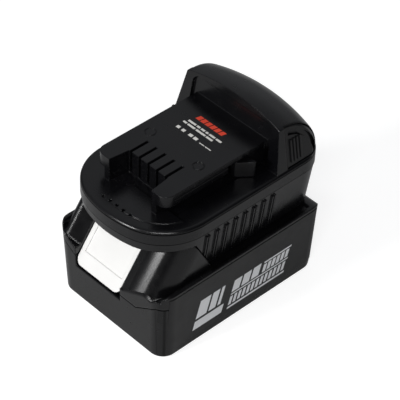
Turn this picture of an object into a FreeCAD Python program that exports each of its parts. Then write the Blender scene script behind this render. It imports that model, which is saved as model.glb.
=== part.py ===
import FreeCAD, Part
import math
import os
from FreeCAD import Vector

# A tool battery adapter slid on to its battery pack. Millimetres, +Z up.
# The origin is the bottom centre, the pack's button end is towards -Y.

# How far a cutting solid runs past the face it cuts
past = 2.0

# Cells
cell_diameter = 18.2
cell_length = 65.0
cells_along = 5
cell_layers = 2
cell_gap = 0.6
cap_radius = 3.4
cap_height = 1.0
strap_thickness = 0.3
strap_half = 4.0
holder_depth = 7.0
holder_reach = 6.0

# Room round the cells
cell_floor_gap = 0.4
cell_top_gap = 0.2
cell_side_room = 2.2
cell_front_room = 11.5
cell_rear_room = 4.5

# Pack case
pack_draft = 2.2
pack_wall = 2.2
pack_corner = 8.0
pack_bottom_round = 1.5
pack_rear_round = 11.0
shoulder_thickness = 2.0
side_seam_drop = 8.0
front_seam_drop = 16.9
front_seam_half_low = 19.0
front_seam_half_high = 33.0
front_band_height = 4.6
shoulder_strip = 2.2
shoulder_nose_radius = 6.0
shoulder_rear_radius = 7.5
groove_width = 1.0
groove_depth = 1.0
tongue_depth = 2.0
tongue_width = 1.1
label_thickness = 0.25
label_border = 5.0

# Pack rail block and front slope
block_height = 19.9
block_wall = 2.2
block_rear_step = 4.0
block_corner = 6.0
rail_root_inset = 10.5
rail_flange = 3.0
rail_flange_height = 5.5
slope_angle = 54.0
slope_round_right = 9.0
slope_round_left = 3.5
flank_drop = 0.1
flank_step = 2.6
slope_length = 34.9
slope_rear_angle = 60.0

# Release button
button_centre_x = -8.35
button_width = 31.9
button_gap = 0.3
button_plate = 1.6
button_height = 31.0
button_travel = 3.0
button_corner = 4.0
button_dish = 0.5
button_dish_border = 2.6
button_lip = 6.0
hook_half = 7.2
hook_thickness = 4.6
hook_step = 7.3
hook_ramp = 2.6
hook_web_height = 3.0
hook_below_adapter = 0.35
hook_pocket_room = 1.0
hook_pocket_depth = 1.2
button_spring_length = 8.5
button_spring_radius = 2.6
button_spring_wire = 0.7
button_spring_offset = 5.0

# Boards, blades and clips in the pack
board_thickness = 1.6
board_over_cells = 3.7
board_edge_gap = 1.2
board_front_margin = 5.0
blade_spacing = 30.0
blade_thickness = 0.8
blade_length = 13.0
blade_reach = 42.0
blade_foot_clear = 3.9
blade_bevel = 2.0
blade_solder = 0.6
signal_spacing = 4.0
signal_count = 3
signal_thickness = 0.6
signal_length = 8.0
signal_step = 4.0
signal_foot_step = 2.5
pack_slot_width = 2.4
signal_slot_width = 1.6
clip_leaf = 0.6
clip_height = 11.0
clip_base = 2.0
socket_height = 12.0
socket_wall = 2.4

# Adapter plan and heights
adapter_side_step = 2.0
front_overhang = 2.1
rear_overhang = 2.3
front_bow_radius = 60.0
front_corner_radius = 29.0
rear_corner_radius = 16.5
adapter_wall = 2.2
skirt_gap = 1.5
slide_gap = 0.6
rim_height = 5.0
floor_thickness = 2.0
band_height = 8.0
plate_thickness = 2.0
plate_edge_round = 1.6
rim_inset = 0.25
skirt_draft = 7.0
skirt_fit = 0.6
rib_count = 8
rib_front_setback = 32.6
rib_pitch = 6.2
rib_width = 2.4
rib_groove = 0.7
rib_height = 0.8
rib_foot = 1.0
rib_head = 2.2
rail_lip_clear = 0.5
rail_lip_height = 5.6

# Platform with the tool rails and the contact slots
platform_height = 13.5
platform_half = 24.4
platform_setback = 16.0
platform_tip_round = 5.0
arm_length = 11.5
rail_plate = 2.5
rail_height = 6.5
rail_groove = 0.6
rail_groove_drop = 0.4
rail_bead_step = 3.0
stem_half = 18.0
stem_wall = 2.0
stem_clear = 0.6
stem_step = 2.7
recess_half = 13.4
recess_flare = 1.4
slot_count = 5
slot_pitch = 6.1
slot_width = 1.5
slot_length = 11.1
slot_wall = 1.5
channel_depth = 1.0
channel_setback = 6.5
raised_inset = 6.0
raised_height = 0.5
raised_notch_x = 7.0
vent_count = 5
vent_pitch = 4.6
vent_radius = 0.85
vent_setback = 7.0
vent_depth = 1.2
vent_centre_x = 1.0
mark_radius = 3.0
mark_spacing = 33.4
mark_setback = 5.4
mark_line = 0.5
mark_depth = 0.25

# Tower
tower_height = 27.5
tower_radius = 29.5
tower_crown_radius = 116.0
tower_corner = 8.5
tower_side_step = 0.9
tower_lean = 10.5
tower_front_run = 5.9
tower_front_lean = 9.0
tower_front_recess = 1.5
tower_wing = 8.6
tower_brow = 4.1
tower_recess_round = 5.0
tower_plan_step = 0.2

# Squeeze latches
latch_travel = 4.4
latch_gap = 0.5
pad_brow = 4.9
pad_front_step = 1.5
pad_width = 9.0
pad_wall = 2.0
pad_rim = 1.9
pad_scoop_width = 2.8
pad_scoop_depth = 1.3
pad_sink = 0.5
pad_rib_count = 4
pad_rib_pitch = 2.1
pad_rib_width = 1.1
pad_rib_height = 0.7
pad_rib_first = 3.0
pad_rib_top = 14.5
latch_arm_inset = 4.0
latch_arm_thickness = 2.6
latch_arm_height = 8.4
latch_arm_run = 14.0
latch_web = 2.0
latch_hook_setback = 8.0
latch_hook_length = 8.4
latch_hook_out = 4.4
latch_hook_land = 1.0
latch_hook_clear = 1.8
latch_spring_radius = 3.2
latch_spring_wire = 0.7
latch_spring_step = 9.0
spring_plate_x = 7.0
spring_plate = 2.0
spring_plate_half = 4.5

# Adapter electronics
adapter_board_drop = 1.0
adapter_board_inset = 14.4
adapter_board_rear_gap = 12.0
tool_clip_leaf = 0.5
tool_clip_pinch = 0.35
tool_clip_length = 9.0
tool_clip_foot = 2.0
tool_clip_head = 1.2
tool_clip_base = 3.0
carrier_height = 8.0
carrier_margin = 1.6
blade_carrier_margin = 4.0
coil_radius = 4.6
coil_height = 4.6
switch_width = 6.5
switch_length = 9.0
switch_height = 2.4
chip_size = 4.0
chip_height = 1.2
capacitor_radius = 2.4
capacitor_height = 4.8
parts_spacing = 8.0
parts_rear_gap = 14.5
fit_gap = 0.1

# Screws
screw_radius = 1.4
screw_bite = 0.1
screw_head_radius = 2.6
screw_head_height = 1.8
screw_head_sink = 0.2
screw_boss_wall = 1.8
screw_grip = 6.0
screw_web = 1.6
screw_head_wall = 1.2
screw_tip_room = 0.4
pack_screw_side = 7.1
pack_screw_front = 7.3
adapter_screw_side = 10.0
adapter_screw_front = 19.0
adapter_screw_rear = 13.0
board_screw_x = 19.0
board_screw_radius = 0.9
board_screw_head_radius = 1.9
board_screw_head_height = 1.0
board_screw_grip = 3.0
board_boss_wall = 1.5
pack_board_screw_step = 11.0
adapter_board_screw_rear = 19.0

# Slopes as rises
slope_rise = math.tan(math.radians(slope_angle))
slope_rear_rise = math.tan(math.radians(slope_rear_angle))
draft_rise = math.tan(math.radians(pack_draft))
skirt_rise = math.tan(math.radians(skirt_draft))

# Heights, from the floor up
cell_radius = cell_diameter / 2
cell_pitch = cell_diameter + cell_gap
cell_low_z = pack_wall + cell_floor_gap + cell_radius
cell_high_z = cell_low_z + (cell_layers - 1) * cell_pitch
cell_top_z = cell_high_z + cell_radius
shoulder_under_z = cell_top_z + cell_top_gap
shoulder_z = shoulder_under_z + shoulder_thickness
side_seam_z = shoulder_z - side_seam_drop
front_seam_z = shoulder_z - front_seam_drop
flank_high_z = shoulder_z - flank_drop
pack_board_z = cell_top_z + board_over_cells
pack_board_top_z = pack_board_z + board_thickness
blade_low_z = pack_board_top_z + blade_foot_clear
signal_low_z = blade_low_z + signal_foot_step
pack_top_z = shoulder_z + block_height
flange_low_z = pack_top_z - rail_flange_height
floor_z = pack_top_z + slide_gap
floor_top_z = floor_z + floor_thickness
seam_z = floor_z + rim_height
plate_z = seam_z + band_height
plate_under_z = plate_z - plate_thickness
platform_z = plate_z + platform_height
rail_top_under_z = platform_z - rail_plate
rail_low_z = platform_z - rail_height
tower_top_z = plate_z + tower_height
tower_axis_z = tower_top_z - tower_radius
pad_arc_radius = tower_radius - pad_brow
tower_recess_high_z = tower_top_z - tower_brow
skirt_low_z = shoulder_z + skirt_gap
adapter_board_z = seam_z - adapter_board_drop
board_top_z = adapter_board_z + board_thickness
latch_low_z = plate_z + latch_gap
latch_arm_top_z = latch_low_z + latch_arm_height
latch_hook_high_z = rail_top_under_z - latch_hook_clear
latch_spring_z = latch_low_z + latch_arm_height / 2
pad_rib_high_z = latch_low_z + pad_rib_top
slot_low_z = plate_z + raised_height + fit_gap
tool_clip_low_z = plate_z + tool_clip_foot
tool_clip_high_z = rail_top_under_z - tool_clip_head

# Half widths, from the cells out
half_width = cell_length / 2 + strap_thickness + cell_side_room + pack_wall + shoulder_z * draft_rise
strip_in = half_width - shoulder_strip
slope_half = strip_in - groove_width
rail_root_half = half_width - rail_root_inset
rail_flange_half = rail_root_half + rail_flange
pack_board_half = rail_root_half - block_wall - board_edge_gap
button_low_x = button_centre_x - button_width / 2
button_high_x = button_centre_x + button_width / 2
adapter_half = half_width - adapter_side_step
adapter_board_half = adapter_half - adapter_board_inset
tower_base_half = adapter_half - tower_side_step
tower_recess_half = tower_base_half - tower_wing
pad_inner_x = tower_base_half - pad_width
latch_arm_x = platform_half - latch_arm_inset
stem_half_rear = latch_arm_x - latch_travel - stem_clear
tool_clip_outer = slot_width / 2 - tool_clip_pinch + tool_clip_leaf
pack_screw_x = half_width - pack_screw_side
adapter_screw_x = adapter_half - adapter_screw_side

# Places along the length, from the cells out
cells_run = (cells_along - 1) * cell_pitch + cell_diameter
half_length = (cells_run + cell_front_room + cell_rear_room) / 2
front_y = -half_length
cell_rear_y = half_length - cell_rear_room - cell_radius
cell_front_y = cell_rear_y - (cells_along - 1) * cell_pitch
block_rear_y = half_length - block_rear_step
slope_rear_low_y = front_y + slope_length
dip_rear_y = front_y + (block_wall + side_seam_z - front_seam_z) / slope_rise + block_wall
hook_front_y = slope_rear_low_y - hook_step
hook_rear_y = hook_front_y + hook_thickness
blade_front_y = block_rear_y - blade_reach
signal_front_y = blade_front_y + signal_step
pack_board_rear_y = block_rear_y - block_wall - board_edge_gap
pack_board_screw_y = blade_front_y - pack_board_screw_step
pack_board_front_y = pack_board_screw_y - board_front_margin
pack_screw_y = front_y + pack_screw_front
adapter_front_y = front_y - front_overhang
rib_first_y = adapter_front_y + rib_front_setback
adapter_rear_y = half_length + rear_overhang
platform_front_y = adapter_front_y + platform_setback
recess_rear_y = platform_front_y + arm_length
slot_inner_y = recess_rear_y + slot_length
channel_front_y = platform_front_y + channel_setback
vent_y = adapter_front_y + vent_setback
mark_y = slot_inner_y + mark_setback
tower_axis_y = adapter_rear_y - tower_radius
tower_front_y = tower_axis_y - tower_front_run
pad_front_y = tower_axis_y + pad_front_step
latch_arm_rear_y = pad_front_y + latch_arm_run
latch_spring_y = pad_front_y + latch_spring_step
latch_hook_rear_y = tower_front_y - latch_hook_setback
latch_hook_front_y = latch_hook_rear_y - latch_hook_length
stem_step_y = latch_hook_front_y - stem_step
rail_bead_rear_y = stem_step_y - rail_bead_step
tool_clip_front_y = slot_inner_y + slot_wall + fit_gap
tool_clip_rear_y = tool_clip_front_y + tool_clip_length
adapter_board_front_y = tool_clip_front_y - carrier_margin
adapter_board_rear_y = adapter_rear_y - adapter_board_rear_gap
adapter_screw_front_y = adapter_front_y + adapter_screw_front
adapter_screw_rear_y = adapter_rear_y - adapter_screw_rear
adapter_board_screw_y = adapter_rear_y - adapter_board_screw_rear

# Release button, on the slope's middle
button_low_z = front_seam_z - button_gap / 2
button_high_z = button_low_z + button_height
button_slot_low_z = button_low_z - button_travel - 2 * button_gap
hook_web_z = shoulder_z + button_spring_length


def box(x0, x1, y0, y1, z0, z1):
    """Box between two corners."""
    return Part.makeBox(x1 - x0, y1 - y0, z1 - z0, Vector(x0, y0, z0))


def rod(radius, start, direction, length):
    """Cylinder from a start point along a direction."""
    return Part.makeCylinder(radius, length, Vector(*start), Vector(*direction))


def tube(outer, inner, start, direction, length):
    """Hollow cylinder."""
    return rod(outer, start, direction, length).cut(rod(inner, start, direction, length))


def side_profile(points, x0, x1):
    """Outline of (y, z) points drawn along X."""
    corners = [Vector(x0, y, z) for y, z in points]
    return Part.Face(Part.makePolygon(corners + corners[:1])).extrude(Vector(x1 - x0, 0, 0))


def front_profile(points, y0, y1):
    """Outline of (x, z) points drawn along Y."""
    corners = [Vector(x, y0, z) for x, z in points]
    return Part.Face(Part.makePolygon(corners + corners[:1])).extrude(Vector(0, y1 - y0, 0))


def plan_profile(points, z0, z1):
    """Outline of (x, y) points drawn along Z."""
    corners = [Vector(x, y, z0) for x, y in points]
    return Part.Face(Part.makePolygon(corners + corners[:1])).extrude(Vector(0, 0, z1 - z0))


def mirrored(shape):
    """The same shape on the other side, across X."""
    return shape.mirror(Vector(0, 0, 0), Vector(1, 0, 0))


def both_sides(shape):
    """A shape and its mirror image as one."""
    return shape.fuse(mirrored(shape))


def joined(shapes):
    """Shapes fused into one."""
    first, rest = shapes[0], shapes[1:]
    return first.multiFuse(rest).removeSplitter() if rest else first


def edge_line(a, b):
    return Part.LineSegment(a, b).toShape()


def edge_arc(a, middle, b):
    return Part.Arc(a, middle, b).toShape()


def loft(low, high):
    """Ruled solid between two wires with matching edges."""
    return Part.makeLoft([low, high], True, True)


# Pack case

def case_wire(inset, z):
    """Rounded rectangle of the pack's plan at one height, drafted."""
    lean = inset + (shoulder_z - z) * draft_rise
    x, y = half_width - lean, half_length - lean
    r = max(pack_corner - inset, pack_corner / 8)
    s = r * (1 - math.sqrt(0.5))
    edges = []
    corners = [(1, -1), (1, 1), (-1, 1), (-1, -1)]
    for i, (sx, sy) in enumerate(corners):
        along = Vector(sx * x, sy * (y - r), z)
        across = Vector(sx * (x - r), sy * y, z)
        middle = Vector(sx * (x - s), sy * (y - s), z)
        start, end = (across, along) if i % 2 == 0 else (along, across)
        edges.append(edge_arc(start, middle, end))
        nx, ny = corners[(i + 1) % 4]
        follow = Vector(nx * x, ny * (y - r), z) if i % 2 == 0 else Vector(nx * (x - r), ny * y, z)
        edges.append(edge_line(end, follow))
    return Part.Wire(edges)


def case_solid(inset, z0, z1):
    """Drafted block of the pack's plan between two heights."""
    return loft(case_wire(inset, z0), case_wire(inset, z1))


def rear_round(inset, floor):
    """What the large rear bottom radius takes off a block of the pack's plan."""
    r = pack_rear_round - inset
    lean = math.radians(pack_draft)
    wall_y = half_length - inset
    centre_z = floor + r
    centre_y = wall_y + ((centre_z - shoulder_z) * math.sin(lean) - r) / math.cos(lean)
    x = half_width + past
    far = half_length + past
    under = floor - past

    def at(y, z):
        return Vector(-x, y, z)

    low = at(centre_y, floor)
    high = at(centre_y + r * math.cos(lean), centre_z - r * math.sin(lean))
    turn = -math.pi / 4 - lean / 2
    middle = at(centre_y + r * math.cos(turn), centre_z + r * math.sin(turn))
    wire = Part.Wire([
        edge_line(low, at(centre_y, under)),
        edge_line(at(centre_y, under), at(far, under)),
        edge_line(at(far, under), at(far, high.z)),
        edge_line(at(far, high.z), high),
        edge_arc(high, middle, low),
    ])
    return Part.Face(wire).extrude(Vector(2 * x, 0, 0))


def rear_top_round(inset):
    """What the shoulder's rear top radius takes off a block of the pack's plan."""
    r = shoulder_rear_radius
    y, z = half_length - r, shoulder_z - r
    x = half_width + past
    corner = box(-x, x, y, half_length + past, z, shoulder_z + past)
    return corner.cut(rod(r - inset, (-x - past, y, z), (1, 0, 0), 2 * (x + past)))


def front_dip(rise):
    """Line of (x, z) points of the seam's dip across the front wall, or one above it."""
    low, high = front_seam_half_low, front_seam_half_high
    side_z, dip_z = side_seam_z + rise, front_seam_z + rise
    return [(-high, side_z), (-low, dip_z), (low, dip_z), (high, side_z)]


def front_notch():
    """What the dip takes off the lower case's front wall."""
    high = front_seam_half_high
    points = [(-high, side_seam_z + past)] + front_dip(0) + [(high, side_seam_z + past)]
    return front_profile(points, front_y - past, dip_rear_y)


def front_band():
    """Upright band under the wedge that follows the dip and turns round both corners."""
    high_z = side_seam_z + front_band_height
    low_line = [(-half_width, side_seam_z)] + front_dip(0) + [(half_width, side_seam_z)]
    high_line = [(-half_width, high_z)] + front_dip(front_band_height) + [(half_width, high_z)]
    band = front_profile(low_line + high_line[::-1], front_y - past, dip_rear_y)
    return band.common(case_solid(0, front_seam_z - past, shoulder_z))


def button_window(z0, z1):
    """Space that the release button slides in, with its gap all round."""
    return box(button_low_x - button_gap, button_high_x + button_gap, front_y - past,
               hook_rear_y + past, z0, z1)


def pack_screw_points():
    return [(-pack_screw_x, pack_screw_y), (pack_screw_x, pack_screw_y)]


def pack_lower_case():
    outer = case_solid(0, 0, side_seam_z)
    outer = outer.makeFillet(pack_bottom_round, [e for e in outer.Edges if e.BoundBox.ZMax < 0.01])
    outer = outer.cut(rear_round(0, 0))
    inner = case_solid(pack_wall, pack_wall, side_seam_z + past).cut(rear_round(pack_wall, pack_wall))
    shell = outer.cut(inner).cut(front_notch())
    shell = shell.cut(button_window(button_slot_low_z, side_seam_z + past))
    head = screw_head_radius + fit_gap
    for x, y in pack_screw_points():
        post = rod(screw_radius + screw_boss_wall, (x, y, pack_wall / 2), (0, 0, 1), side_seam_z - pack_wall / 2)
        shell = shell.fuse(post.common(case_solid(pack_wall / 2, 0, side_seam_z)))
        shell = shell.cut(rod(head, (x, y, -past), (0, 0, 1), past + screw_head_sink + screw_head_height))
        shell = shell.cut(rod(screw_radius + fit_gap, (x, y, 0), (0, 0, 1), side_seam_z + past))
    return shell.removeSplitter()


def over_slope(x0, x1, start0, start1, inset):
    """All that lies in front of a sloped plane; its foot on the front wall climbs along X."""
    back = inset / math.sin(math.radians(slope_angle))
    near, far = front_y + back - half_length, front_y + back + half_length
    low, high = start0 - half_length * slope_rise, start0 + half_length * slope_rise
    corners = [Vector(x0, near, low), Vector(x0, far, high), Vector(x0, near, high)]
    return Part.Face(Part.makePolygon(corners + corners[:1])).extrude(Vector(x1 - x0, 0, start1 - start0))


def slope_block(x0, x1, inset, foot_z):
    """Front wall, top and leaning rear face of the wedge, before its slope is cut."""
    top = pack_top_z - inset
    rear_back = inset / math.sin(math.radians(slope_rear_angle))
    rear_low = slope_rear_low_y - rear_back
    rear_high = rear_low - (top - shoulder_z) / slope_rear_rise
    return side_profile([
        (front_y + inset, foot_z), (front_y + inset, top), (rear_high, top),
        (rear_low, shoulder_z), (rear_low, foot_z),
    ], x0, x1)


def rounded_flank(inner_x, side_x, outer_x, radius, inset):
    """Tilted slab of one flank, longer than the wedge, with its outer edge rounded."""
    slab = box(min(inner_x, side_x), max(inner_x, side_x), front_y - block_height, 0, 0,
               pack_top_z + block_height)
    slab = slab.cut(over_slope(inner_x, outer_x, front_seam_z + flank_step, flank_high_z, inset))
    edges = [e for e in slab.Edges if slanted_edge(e, side_x)]
    return slab.makeFillet(max(radius - inset, radius / 4), edges)


def slanted_edge(edge, side_x):
    """True for the slanted edge between a flank's sloped face and its side."""
    b = edge.BoundBox
    return b.XLength < 0.01 and abs(b.XMin - side_x) < 0.01 and b.YLength > 1 and b.ZLength > 1


def slope_solid(inset, foot_z):
    """Wedge at the pack's front: a low middle for the button between two tilted flanks."""
    low_x = button_low_x - button_gap
    high_x = button_high_x + button_gap
    body = slope_block(low_x, high_x, inset, foot_z)
    body = body.cut(over_slope(low_x - past, high_x + past, front_seam_z, front_seam_z, inset))
    sides = ((high_x, slope_half, slope_round_right), (low_x, -slope_half, slope_round_left))
    for inner_x, outer_x, radius in sides:
        side_x = outer_x - math.copysign(inset, outer_x)
        flank = slope_block(min(inner_x, side_x), max(inner_x, side_x), inset, foot_z)
        body = body.fuse(flank.common(rounded_flank(inner_x, side_x, outer_x, radius, inset)))
    return body.removeSplitter()


def block_bar(half, inset, z0, z1):
    """Bar of the rail block with its two rear corners rounded."""
    front = slope_rear_low_y - block_height / slope_rear_rise - fit_gap
    rear = block_rear_y - inset
    bar = box(-half, half, front, rear, z0, z1)
    corners = [e for e in bar.Edges if e.BoundBox.ZLength > 1 and e.BoundBox.YMin > rear - 0.01]
    return bar.makeFillet(block_corner - inset, corners)


def block_solid(inset, z0):
    """Rail block behind the wedge: root and flange, or its hollow."""
    root = block_bar(rail_root_half - inset, inset, z0, pack_top_z - inset)
    slope = over_slope(-half_width, half_width, front_seam_z, front_seam_z, inset)
    if inset:
        return root.cut(slope)
    flange = block_bar(rail_flange_half, inset, flange_low_z, pack_top_z)
    return root.fuse(flange).cut(slope)


def pack_slots():
    """Contact slots in the rail block, open at its top and rear end."""
    half = blade_spacing / 2
    rows = [(x, pack_slot_width, blade_front_y, blade_low_z) for x in (-half, half)]
    rows += [(x, signal_slot_width, signal_front_y, signal_low_z) for x in signal_positions()]
    return [box(x - width / 2, x + width / 2, y - slide_gap, block_rear_y + past, low - slide_gap,
                pack_top_z + past) for x, width, y, low in rows]


def shoulder_walls():
    """Side and rear walls above the seam, with the sunk shoulder and rounded ends."""
    wall = case_solid(0, side_seam_z, shoulder_z).cut(rear_top_round(0))
    inside = case_solid(pack_wall, side_seam_z - past, shoulder_under_z)
    wall = wall.cut(inside.cut(rear_top_round(pack_wall)))
    groove_z = shoulder_z - groove_depth
    groove_end = half_length - pack_corner - groove_width
    for inner, start in ((slope_half, front_y - past), (rail_root_half, slope_rear_low_y)):
        groove = box(inner, strip_in, start, groove_end, groove_z, shoulder_z + past)
        wall = wall.cut(both_sides(groove))
    r = shoulder_nose_radius
    nose = box(slope_half, half_width + past, front_y - past, front_y + r, shoulder_z - r, shoulder_z + past)
    nose = nose.cut(rod(r, (slope_half - past, front_y + r, shoulder_z - r), (1, 0, 0), half_width))
    wall = wall.cut(both_sides(nose))
    return wall.cut(box(-slope_half, slope_half, front_y - past, slope_rear_low_y,
                        side_seam_z - past, shoulder_z + past))


def seam_tongue():
    """Inner lip of both side walls that hooks behind the lower case."""
    inner = pack_wall + tongue_width
    high = case_solid(pack_wall - fit_gap, side_seam_z, side_seam_z + tongue_depth)
    high = high.cut(case_solid(inner, side_seam_z - past, side_seam_z + tongue_depth + past))
    low = case_solid(pack_wall + fit_gap, side_seam_z - tongue_depth, side_seam_z)
    low = low.cut(case_solid(inner, side_seam_z - tongue_depth - past, side_seam_z + past))
    sides = box(strip_in - pack_corner, half_width, front_y + slope_length / 2, half_length - pack_rear_round,
                0, pack_top_z)
    return high.fuse(low).common(both_sides(sides))


def pack_upper_case():
    plan = case_solid(0, front_seam_z - past, shoulder_z)
    front = box(-half_width, half_width, front_y - past, 0, side_seam_z, shoulder_z).fuse(front_notch())
    wedge = slope_solid(0, front_seam_z)
    wedge_low = wedge.common(plan).common(front)
    wedge_high = wedge.common(box(-half_width, half_width, front_y - past, 0, shoulder_z, pack_top_z + past))
    body = joined([shoulder_walls(), front_band(), wedge_low, wedge_high, block_solid(0, shoulder_under_z)])
    body = body.cut(slope_solid(block_wall, front_seam_z - past))
    body = body.cut(block_solid(block_wall, side_seam_z - past))
    inside = case_solid(pack_wall, front_seam_z - past, shoulder_under_z).cut(rear_top_round(pack_wall))
    cells_front = cell_front_y - cell_radius - cell_top_gap
    body = body.cut(inside.common(box(-half_width, half_width, cells_front, half_length, 0, pack_top_z)))
    shelf = box(-slope_half + groove_width, slope_half - groove_width, hook_front_y - pack_wall,
                hook_rear_y + pack_wall, shoulder_under_z, shoulder_z)
    body = joined([body, shelf, seam_tongue()])
    boss = screw_radius + screw_boss_wall
    post_solid = slope_solid(block_wall / 2, front_seam_z)
    for x, y in pack_screw_points():
        body = body.cut(rod(boss + fit_gap, (x, y, 0), (0, 0, 1), side_seam_z))
        body = body.fuse(rod(boss, (x, y, side_seam_z), (0, 0, 1), 2 * screw_grip).common(post_solid))
        body = body.cut(rod(screw_radius - screw_bite, (x, y, side_seam_z - past), (0, 0, 1), past + screw_grip))
    for x in (-board_screw_x, board_screw_x):
        high = pack_top_z - block_wall / 2 - pack_board_top_z
        start = (x, pack_board_screw_y, pack_board_top_z)
        body = body.fuse(rod(board_screw_radius + board_boss_wall, start, (0, 0, 1), high))
        body = body.cut(rod(board_screw_radius, start, (0, 0, 1), board_screw_grip + screw_tip_room))
    window = button_window(button_slot_low_z, button_high_z + button_gap)
    keep = box(-half_width, half_width, hook_front_y - pack_wall - button_gap, 0, 0, shoulder_z)
    body = body.cut(window.cut(keep))
    gap = 2 * button_gap
    body = body.cut(box(-hook_half - gap, hook_half + gap, hook_front_y - gap, hook_rear_y + gap,
                        pack_top_z - block_wall - gap, pack_top_z + past))
    for slot in pack_slots():
        body = body.cut(slot)
    return body.removeSplitter()


def slope_y(z, back):
    """Y of the button's face, or of a plane behind it, at one height."""
    return front_y + back + (z - front_seam_z) / slope_rise


def button_outline(low, high):
    """Front outline of the button, its lower corners rounded, drawn along Y."""
    x0, x1, r = button_low_x, button_high_x, button_corner
    k = r * (1 - math.sqrt(0.5))

    def at(x, z):
        return Vector(x, front_y - past, z)

    wire = Part.Wire([
        edge_line(at(x0 + r, low), at(x1 - r, low)),
        edge_arc(at(x1 - r, low), at(x1 - k, low + k), at(x1, low + r)),
        edge_line(at(x1, low + r), at(x1, high)),
        edge_line(at(x1, high), at(x0, high)),
        edge_line(at(x0, high), at(x0, low + r)),
        edge_arc(at(x0, low + r), at(x0 + k, low + k), at(x0 + r, low)),
    ])
    return Part.Face(wire).extrude(Vector(0, half_length, 0))


def release_button():
    """White push button: sloped plate with a dished face, web and hook."""
    x0, x1 = button_low_x, button_high_x
    low, high = button_low_z, button_high_z
    depth = button_plate / math.sin(math.radians(slope_angle))
    plate = side_profile([
        (slope_y(low, 0), low), (slope_y(high, 0), high),
        (slope_y(high, depth), high), (slope_y(low, depth), low),
    ], x0, x1)
    plate = plate.common(button_outline(low, high))
    dish_back = button_dish / math.sin(math.radians(slope_angle))
    dish_low = low + button_lip
    dish = side_profile([
        (slope_y(dish_low, -past), dish_low), (slope_y(high, -past), high),
        (slope_y(high, dish_back), high), (slope_y(dish_low, dish_back), dish_low),
    ], x0 + button_dish_border, x1 - button_dish_border)
    plate = plate.cut(dish)
    web_high = hook_web_z + hook_web_height
    web = side_profile([
        (slope_y(hook_web_z, depth / 2), hook_web_z), (slope_y(web_high, depth / 2), web_high),
        (hook_rear_y, web_high), (hook_rear_y, hook_web_z),
    ], x0 + button_lip, hook_half)
    top = floor_z - hook_below_adapter
    hook = side_profile([
        (hook_front_y, hook_web_z), (hook_front_y, top - hook_ramp),
        (hook_front_y + hook_thickness / 2, top), (hook_rear_y, top), (hook_rear_y, hook_web_z),
    ], -hook_half, hook_half)
    return joined([plate, web, hook])


def button_springs():
    """Two springs between the shelf and the button's web."""
    y = (hook_front_y + hook_rear_y) / 2
    inner = button_spring_radius - button_spring_wire
    return Part.makeCompound([
        tube(button_spring_radius, inner, (x, y, shoulder_z), (0, 0, 1), button_spring_length)
        for x in (button_centre_x - button_spring_offset, button_centre_x + button_spring_offset)])


def cell_points():
    """Axis position (y, z) of each cell."""
    return [(cell_rear_y - i * cell_pitch, cell_low_z + layer * cell_pitch)
            for layer in range(cell_layers) for i in range(cells_along)]


def cells():
    """Cylindrical cells with their raised positive cap, neighbours turned end for end."""
    solids = []
    for i, (y, z) in enumerate(cell_points()):
        sign = 1 if (i % cells_along) % 2 == 0 else -1
        body = rod(cell_radius, (-sign * cell_length / 2, y, z), (sign, 0, 0), cell_length - cap_height)
        cap = rod(cap_radius, (sign * (cell_length / 2 - cap_height), y, z), (sign, 0, 0), cap_height)
        solids.append(body.fuse(cap))
    return Part.makeCompound(solids)


def cell_holder():
    """Frame that takes the cells' right-hand ends."""
    outer_x = cell_length / 2 - cap_height
    inner_x = outer_x - holder_depth
    bore = cell_radius + fit_gap / 2
    frame = box(inner_x, outer_x, cell_front_y - holder_reach, cell_rear_y + holder_reach,
                cell_low_z - holder_reach, cell_high_z + holder_reach)
    for y, z in cell_points():
        frame = frame.cut(rod(bore, (inner_x - past, y, z), (1, 0, 0), holder_depth + 2 * past))
    return frame


def cell_straps(side):
    """Welded straps on one side: each joins one or two columns of cells."""
    columns = [cell_rear_y - i * cell_pitch for i in range(cells_along)]
    first = 0 if side > 0 else 1
    groups = [columns[:first]] if first else []
    groups += [columns[i:i + 2] for i in range(first, cells_along, 2)]
    x = side * cell_length / 2
    far = x + side * strap_thickness
    return Part.makeCompound([
        box(min(x, far), max(x, far), min(g) - strap_half, max(g) + strap_half,
            cell_low_z - strap_half, cell_high_z + strap_half) for g in groups])


def pack_label():
    """Thin sticker over the right side wall and the seam."""
    low, high = label_border, shoulder_z - shoulder_thickness
    skin = case_solid(-label_thickness, low, high).cut(case_solid(0, low - past, high + past))
    return skin.common(box(0, half_width + past, front_y + label_border, half_length - label_border, low, high))


def pack_board():
    board = box(-pack_board_half, pack_board_half, pack_board_front_y, pack_board_rear_y,
                pack_board_z, pack_board_top_z)
    for x in (-board_screw_x, board_screw_x):
        board = board.cut(rod(board_screw_radius + fit_gap, (x, pack_board_screw_y, pack_board_z - past),
                              (0, 0, 1), board_thickness + 2 * past))
    return board


def pack_clip(x):
    """Spring clip that grips a blade: two leaves on a base."""
    half_gap = blade_thickness / 2 + fit_gap
    outer = half_gap + clip_leaf
    y0, y1 = blade_front_y - clip_leaf, blade_front_y + blade_length - clip_leaf
    leaf = box(half_gap, outer, y0, y1, pack_board_top_z, pack_board_top_z + clip_height)
    base = box(-outer, outer, y0, y1, pack_board_top_z, pack_board_top_z + clip_base)
    clip = joined([leaf, mirrored(leaf), base])
    clip.translate(Vector(x, 0, 0))
    return clip


def signal_positions():
    return [(i - (signal_count - 1) / 2) * signal_spacing for i in range(signal_count)]


def pack_data_socket():
    """Moulded socket with one slot for each signal blade."""
    half = signal_positions()[-1] + socket_wall
    y1 = signal_front_y + signal_length
    top = pack_board_top_z + socket_height
    block = box(-half, half, signal_front_y - socket_wall, y1 - fit_gap, pack_board_top_z, top)
    width = signal_thickness
    for x in signal_positions():
        block = block.cut(box(x - width, x + width, signal_front_y - slide_gap, y1 + past,
                              signal_low_z - slide_gap, top + past))
    return block


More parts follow.
